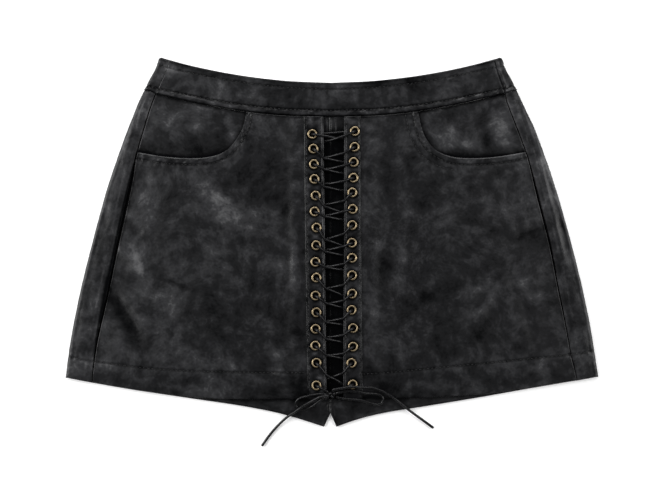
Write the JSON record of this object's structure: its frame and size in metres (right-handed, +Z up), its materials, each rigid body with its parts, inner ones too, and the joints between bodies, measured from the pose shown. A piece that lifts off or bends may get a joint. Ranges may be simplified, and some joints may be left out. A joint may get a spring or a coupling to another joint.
{
  "type": "skort",
  "caption": "Short black washed-leather-look skort laid flat, with a laced front, brass eyelets, slanted pockets and a shaped waistband.",
  "frame": {"origin": "centre of the garment's plan, on the surface it lies on; the bow's free cords are not counted", "axes": "+X to the right of the shown front, +Y from the hem towards the waistband, +Z up out of the shown front"},
  "size_m": [0.5337, 0.3888, 0.0153],
  "materials": {
    "washed_leather": "cloudy washed charcoal, slight sheen",
    "antique_brass": "aged, satin",
    "waxed_lace": "round waxed cord"
  },
  "bodies": {
    "root": {"back_panel_left": "washed_leather", "back_panel_right": "washed_leather", "shorts_front_left": "washed_leather", "shorts_front_right": "washed_leather", "pocket_facing_left": "washed_leather", "pocket_facing_right": "washed_leather", "skirt_front_left": "washed_leather", "skirt_front_right": "washed_leather", "eyelet_strip_left": "washed_leather", "eyelet_strip_right": "washed_leather", "waistband_front": "washed_leather", "waistband_back": "washed_leather", "eyelet_left_01": "antique_brass", "eyelet_left_02": "antique_brass", "eyelet_left_03": "antique_brass", "eyelet_left_04": "antique_brass", "eyelet_left_05": "antique_brass", "eyelet_left_06": "antique_brass", "eyelet_left_07": "antique_brass", "eyelet_left_08": "antique_brass", "eyelet_left_09": "antique_brass", "eyelet_left_10": "antique_brass", "eyelet_left_11": "antique_brass", "eyelet_left_12": "antique_brass", "eyelet_left_13": "antique_brass", "eyelet_left_14": "antique_brass", "eyelet_left_15": "antique_brass", "eyelet_left_16": "antique_brass", "eyelet_right_01": "antique_brass", "eyelet_right_02": "antique_brass", "eyelet_right_03": "antique_brass", "eyelet_right_04": "antique_brass", "eyelet_right_05": "antique_brass", "eyelet_right_06": "antique_brass", "eyelet_right_07": "antique_brass", "eyelet_right_08": "antique_brass", "eyelet_right_09": "antique_brass", "eyelet_right_10": "antique_brass", "eyelet_right_11": "antique_brass", "eyelet_right_12": "antique_brass", "eyelet_right_13": "antique_brass", "eyelet_right_14": "antique_brass", "eyelet_right_15": "antique_brass", "eyelet_right_16": "antique_brass", "lacing": "waxed_lace", "bow_knot": "waxed_lace", "bow_loop_left": "waxed_lace", "bow_loop_right": "waxed_lace", "bow_tail_left": "waxed_lace", "bow_tail_right": "waxed_lace"}
  },
  "joints": []
}
